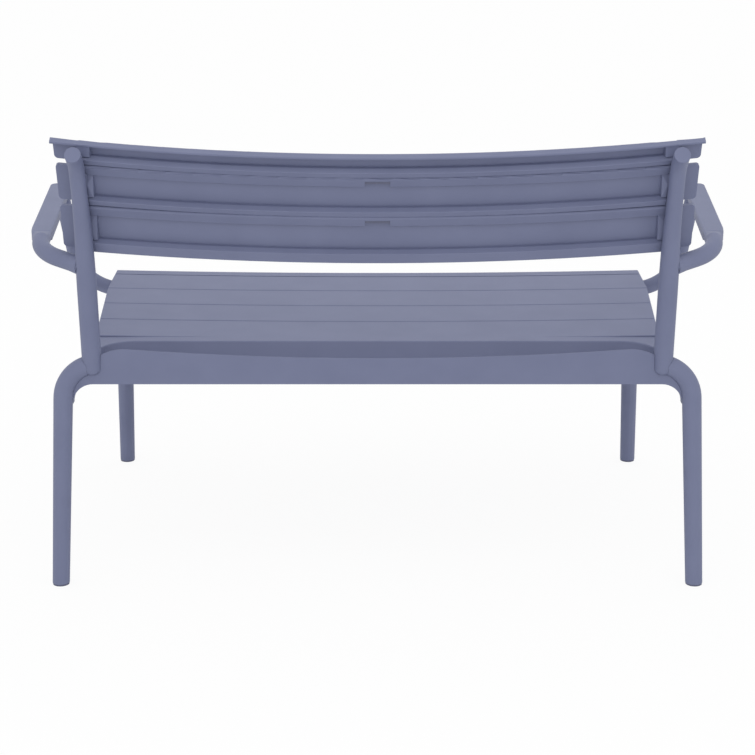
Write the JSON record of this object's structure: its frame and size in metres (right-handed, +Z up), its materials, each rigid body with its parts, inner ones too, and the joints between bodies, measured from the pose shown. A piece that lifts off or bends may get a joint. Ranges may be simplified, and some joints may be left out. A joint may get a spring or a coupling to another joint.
{
  "type": "garden bench",
  "caption": "Low garden lounge bench with arms: tapered round legs, curved back slats open to the rear, a slatted dished seat and round back posts.",
  "frame": {"origin": "on the floor, below the middle of the bench's overall box", "axes": "+Z up, +X to a sitter's left along the bench, -Y to the front of the bench"},
  "size_m": [1.1972, 0.6676, 0.736],
  "materials": {
    "moulding": "matte moulded blue-grey polypropylene",
    "glide": "matte soft plastic",
    "screw": "stainless pan screws"
  },
  "bodies": {
    "root": {"arm_screws": "screw", "bottom_back_slat": "moulding", "centre_seat_rail": "moulding", "frame_screws": "screw", "front_apron": "moulding", "front_seat_slat": "moulding", "left_arm_rest": "moulding", "left_back_post": "moulding", "left_front_arm_tube": "moulding", "left_front_foot_glide": "glide", "left_front_leg": "moulding", "left_post_cap": "moulding", "left_rear_arm_tube": "moulding", "left_rear_foot_glide": "glide", "left_rear_leg": "moulding", "left_seat_rail": "moulding", "lower_slat_spacer": "moulding", "middle_back_slat": "moulding", "rear_apron": "moulding", "rear_seat_slat": "moulding", "right_arm_rest": "moulding", "right_back_post": "moulding", "right_front_arm_tube": "moulding", "right_front_foot_glide": "glide", "right_front_leg": "moulding", "right_post_cap": "moulding", "right_rear_arm_tube": "moulding", "right_rear_foot_glide": "glide", "right_rear_leg": "moulding", "right_seat_rail": "moulding", "seat_screws": "screw", "seat_slat_1": "moulding", "seat_slat_2": "moulding", "seat_slat_3": "moulding", "seat_slat_4": "moulding", "top_back_slat": "moulding", "upper_slat_spacer": "moulding"}
  },
  "joints": []
}
